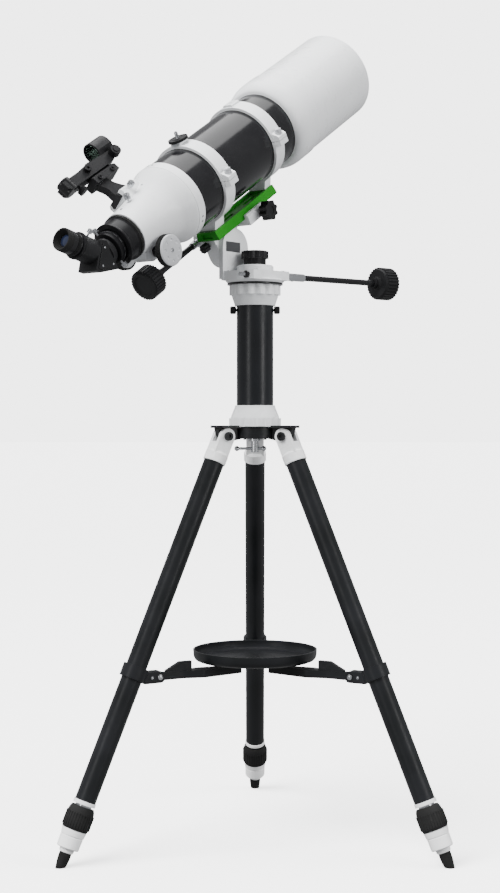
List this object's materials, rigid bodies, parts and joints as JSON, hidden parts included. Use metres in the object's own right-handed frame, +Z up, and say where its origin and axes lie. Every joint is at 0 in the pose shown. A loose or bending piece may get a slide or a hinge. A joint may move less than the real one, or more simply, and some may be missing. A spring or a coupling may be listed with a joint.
{
  "type": "refractor telescope",
  "caption": "Short refractor telescope with dew shield and prism diagonal, on a one-arm altitude-azimuth mount, pillar and folding tripod.",
  "frame": {"origin": "centre of the bounding box at floor level; the pillar's axis stands at x 0, y -0.0225", "axes": "+Z up; +Y towards the single rear leg; the tube points to +X +Y and 32 degrees up, with its eyepiece towards -X -Y"},
  "size_m": [0.597, 0.6393, 1.3277],
  "materials": {
    "white_paint": "satin",
    "gloss_black": "gloss",
    "satin_black": "satin",
    "black_anodised": "satin",
    "black_plastic": "satin",
    "rubber": "matte",
    "green_anodised": "satin",
    "silver": "satin",
    "glass": "polished"
  },
  "bodies": {
    "tripod": {"tripod_head": "satin_black", "leg_bolt_1": "satin_black", "leg_bolt_2": "satin_black", "leg_bolt_3": "satin_black", "lower_adapter": "white_paint", "pillar": "satin_black", "clamp_ring": "white_paint", "azimuth_washer": "black_plastic"},
    "leg_1": {"upper_leg_1": "satin_black", "leg_strap_1": "satin_black"},
    "spreader_1": {"spreader_arm_1": "satin_black"},
    "lower_leg_1": {"lower_leg_1": "white_paint"},
    "twist_lock_1": {"twist_lock_1": "rubber"},
    "leg_2": {"upper_leg_2": "satin_black", "leg_strap_2": "satin_black"},
    "spreader_2": {"spreader_arm_2": "satin_black"},
    "lower_leg_2": {"lower_leg_2": "white_paint"},
    "twist_lock_2": {"twist_lock_2": "rubber"},
    "leg_3": {"upper_leg_3": "satin_black", "leg_strap_3": "satin_black"},
    "spreader_3": {"spreader_arm_3": "satin_black"},
    "lower_leg_3": {"lower_leg_3": "white_paint"},
    "twist_lock_3": {"twist_lock_3": "rubber"},
    "tray": {"accessory_tray": "satin_black"},
    "pillar_bolt": {"pillar_bolt": "silver"},
    "pillar_thumbscrew_1": {"pillar_thumbscrew_1": "black_plastic"},
    "pillar_thumbscrew_2": {"pillar_thumbscrew_2": "black_plastic"},
    "azimuth": {"azimuth_body": "white_paint"},
    "azimuth_clamp": {"azimuth_clamp_knob": "black_plastic"},
    "azimuth_control": {"azimuth_control": "black_plastic"},
    "ota": {"altitude_saddle": "white_paint", "altitude_pivot": "silver", "dovetail_bar": "green_anodised", "tube_ring_lower_1": "white_paint", "tube_ring_lower_2": "white_paint", "main_tube": "gloss_black", "objective_cell": "white_paint", "objective_lens": "glass", "rear_casting": "white_paint", "finder_bracket": "black_plastic", "finder_sight": "black_plastic"},
    "saddle_knob": {"saddle_knob": "black_plastic"},
    "altitude_tension": {"altitude_tension_knob": "black_plastic"},
    "altitude_control": {"altitude_control": "black_plastic"},
    "ring_upper_1": {"tube_ring_upper_1": "white_paint"},
    "ring_screw_1": {"ring_screw_1": "silver"},
    "ring_upper_2": {"tube_ring_upper_2": "white_paint"},
    "ring_screw_2": {"ring_screw_2": "silver"},
    "camera_bolt": {"camera_bolt": "black_plastic"},
    "dew_shield": {"dew_shield": "white_paint"},
    "focus_lock": {"focus_lock_screw": "silver"},
    "drawtube": {"drawtube": "black_anodised"},
    "focus": {"focus_pinion": "silver", "focus_wheel_1": "rubber", "focus_wheel_2": "rubber"},
    "diagonal": {"prism_diagonal": "black_plastic"},
    "eyepiece": {"eyepiece": "black_plastic"},
    "finder_switch": {"finder_switch": "black_plastic"},
    "finder_side_screw": {"finder_side_screw": "black_plastic"},
    "finder_low_screw": {"finder_low_screw": "black_plastic"}
  },
  "joints": [
    {"name": "leg_fold_1", "type": "hinge", "parent": "tripod", "child": "leg_1", "pos_m": [0, 0.0345, 0.642], "axis": [-1, 0, 0], "range_deg": [0, 8]},
    {"name": "spreader_turn_1", "type": "hinge", "parent": "leg_1", "child": "spreader_1", "pos_m": [0, 0.151, 0.2717], "axis": [-1, 0, 0], "range_deg": [0, 42]},
    {"name": "leg_extend_1", "type": "slide", "parent": "leg_1", "child": "lower_leg_1", "axis": [0, 0.3986, -0.9171], "range_m": [0, 0.25]},
    {"name": "twist_lock_turn_1", "type": "hinge", "parent": "leg_1", "child": "twist_lock_1", "pos_m": [0, 0.27603, 0.08621], "axis": [0, -0.3986, 0.9171], "range_deg": [0, 60]},
    {"name": "leg_fold_2", "type": "hinge", "parent": "tripod", "child": "leg_2", "pos_m": [-0.04936, -0.051, 0.642], "axis": [0.5, -0.866, 0], "range_deg": [0, 8]},
    {"name": "spreader_turn_2", "type": "hinge", "parent": "leg_2", "child": "spreader_2", "pos_m": [-0.15025, -0.10925, 0.2717], "axis": [0.5, -0.866, 0], "range_deg": [0, 42]},
    {"name": "leg_extend_2", "type": "slide", "parent": "leg_2", "child": "lower_leg_2", "axis": [-0.3452, -0.1993, -0.9171], "range_m": [0, 0.25]},
    {"name": "twist_lock_turn_2", "type": "hinge", "parent": "leg_2", "child": "twist_lock_2", "pos_m": [-0.25854, -0.17177, 0.08621], "axis": [0.3452, 0.1993, 0.9171], "range_deg": [0, 60]},
    {"name": "leg_fold_3", "type": "hinge", "parent": "tripod", "child": "leg_3", "pos_m": [0.04936, -0.051, 0.642], "axis": [0.5, 0.866, 0], "range_deg": [0, 8]},
    {"name": "spreader_turn_3", "type": "hinge", "parent": "leg_3", "child": "spreader_3", "pos_m": [0.15025, -0.10925, 0.2717], "axis": [0.5, 0.866, 0], "range_deg": [0, 42]},
    {"name": "leg_extend_3", "type": "slide", "parent": "leg_3", "child": "lower_leg_3", "axis": [0.3452, -0.1993, -0.9171], "range_m": [0, 0.25]},
    {"name": "twist_lock_turn_3", "type": "hinge", "parent": "leg_3", "child": "twist_lock_3", "pos_m": [0.25854, -0.17177, 0.08621], "axis": [-0.3452, 0.1993, 0.9171], "range_deg": [0, 60]},
    {"name": "tray_rise", "type": "slide", "parent": "tripod", "child": "tray", "axis": [0, 0, 1], "range_m": [0, 0.1]},
    {"name": "pillar_bolt_turn", "type": "hinge", "parent": "tripod", "child": "pillar_bolt", "pos_m": [0, -0.0225, 0.622], "axis": [0, 0, 1], "range_deg": [0, 360]},
    {"name": "pillar_thumbscrew_turn_1", "type": "hinge", "parent": "tripod", "child": "pillar_thumbscrew_1", "pos_m": [-0.036, -0.0225, 0.8433], "axis": [-1, 0, 0], "range_deg": [0, 360]},
    {"name": "pillar_thumbscrew_turn_2", "type": "hinge", "parent": "tripod", "child": "pillar_thumbscrew_2", "pos_m": [0.036, -0.0225, 0.8433], "axis": [1, 0, 0], "range_deg": [0, 360]},
    {"name": "azimuth_turn", "type": "hinge", "parent": "tripod", "child": "azimuth", "pos_m": [0, -0.0225, 0.8895], "axis": [0, 0, 1], "continuous": true},
    {"name": "azimuth_clamp_turn", "type": "hinge", "parent": "azimuth", "child": "azimuth_clamp", "pos_m": [0, -0.0225, 0.925], "axis": [0, 0, 1], "range_deg": [0, 270]},
    {"name": "azimuth_control_turn", "type": "hinge", "parent": "azimuth", "child": "azimuth_control", "pos_m": [0.01876, -0.04591, 0.8967], "axis": [0.7804, 0.6252, 0], "continuous": true},
    {"name": "altitude_tilt", "type": "hinge", "parent": "azimuth", "child": "ota", "pos_m": [-0.0341, -0.02019, 0.943], "axis": [0.7786, -0.6276, 0], "range_deg": [-57, 43]},
    {"name": "saddle_knob_turn", "type": "hinge", "parent": "ota", "child": "saddle_knob", "pos_m": [0.01883, -0.00605, 1.00497], "axis": [0.7786, -0.6276, 0], "range_deg": [0, 360]},
    {"name": "altitude_tension_turn", "type": "hinge", "parent": "ota", "child": "altitude_tension", "pos_m": [-0.0791, -0.04469, 0.94011], "axis": [0.5322, 0.6603, 0.5299], "range_deg": [0, 180]},
    {"name": "altitude_control_turn", "type": "hinge", "parent": "ota", "child": "altitude_control", "pos_m": [-0.1566, -0.10898, 0.8867], "axis": [0.5322, 0.6603, 0.5299], "continuous": true},
    {"name": "ring_open_1", "type": "hinge", "parent": "ota", "child": "ring_upper_1", "pos_m": [-0.15262, -0.03551, 1.03838], "axis": [-0.5322, -0.6603, -0.5299], "range_deg": [0, 100]},
    {"name": "ring_screw_turn_1", "type": "hinge", "parent": "ring_upper_1", "child": "ring_screw_1", "pos_m": [-0.04019, -0.13186, 1.0455], "axis": [-0.3326, -0.4126, 0.848], "range_deg": [0, 360]},
    {"name": "ring_open_2", "type": "hinge", "parent": "ota", "child": "ring_upper_2", "pos_m": [-0.07412, 0.06187, 1.11654], "axis": [-0.5322, -0.6603, -0.5299], "range_deg": [0, 100]},
    {"name": "ring_screw_turn_2", "type": "hinge", "parent": "ring_upper_2", "child": "ring_screw_2", "pos_m": [0.03831, -0.03447, 1.12366], "axis": [-0.3326, -0.4126, 0.848], "range_deg": [0, 360]},
    {"name": "camera_bolt_turn", "type": "hinge", "parent": "ring_upper_1", "child": "camera_bolt", "pos_m": [-0.11801, -0.11208, 1.09901], "axis": [-0.3326, -0.4126, 0.848], "range_deg": [0, 360]},
    {"name": "dew_shield_slide", "type": "slide", "parent": "ota", "child": "dew_shield", "axis": [0.5322, 0.6603, 0.5299], "range_m": [0, 0.06]},
    {"name": "focus_lock_turn", "type": "hinge", "parent": "ota", "child": "focus_lock", "pos_m": [-0.18902, -0.20019, 0.99705], "axis": [-0.3326, -0.4126, 0.848], "range_deg": [0, 360]},
    {"name": "drawtube_slide", "type": "slide", "parent": "ota", "child": "drawtube", "axis": [-0.5322, -0.6603, -0.5299], "range_m": [0, 0.07]},
    {"name": "focus_turn", "type": "hinge", "parent": "ota", "child": "focus", "pos_m": [-0.16415, -0.16933, 0.92041], "axis": [0.7786, -0.6276, 0], "range_deg": [0, 500]},
    {"name": "diagonal_turn", "type": "hinge", "parent": "drawtube", "child": "diagonal", "pos_m": [-0.2161, -0.23378, 0.91703], "axis": [0.5322, 0.6603, 0.5299], "continuous": true},
    {"name": "eyepiece_turn", "type": "hinge", "parent": "diagonal", "child": "eyepiece", "pos_m": [-0.25679, -0.28426, 0.91821], "axis": [-0.6115, -0.7586, 0.225], "continuous": true},
    {"name": "finder_switch_turn", "type": "hinge", "parent": "ota", "child": "finder_switch", "pos_m": [-0.21553, -0.14238, 1.0743], "axis": [0.4217, -0.7495, 0.5104], "range_deg": [0, 270]},
    {"name": "finder_side_screw_turn", "type": "hinge", "parent": "ota", "child": "finder_side_screw", "pos_m": [-0.25143, -0.18451, 1.04208], "axis": [0.4217, -0.7495, 0.5104], "range_deg": [0, 360]},
    {"name": "finder_low_screw_turn", "type": "hinge", "parent": "ota", "child": "finder_low_screw", "pos_m": [-0.25711, -0.19355, 1.00998], "axis": [-0.7341, 0.0482, 0.6773], "range_deg": [0, 360]}
  ],
  "couplings": [
    {"joint": "spreader_turn_1", "follows": "leg_fold_1", "ratio": 5.1},
    {"joint": "leg_fold_2", "follows": "leg_fold_1", "ratio": 1},
    {"joint": "spreader_turn_2", "follows": "leg_fold_1", "ratio": 5.1},
    {"joint": "leg_fold_3", "follows": "leg_fold_1", "ratio": 1},
    {"joint": "spreader_turn_3", "follows": "leg_fold_1", "ratio": 5.1},
    {"joint": "tray_rise", "follows": "leg_fold_1", "m_per_rad": 0.682},
    {"joint": "focus_turn", "follows": "drawtube_slide", "rad_per_m": 122}
  ]
}
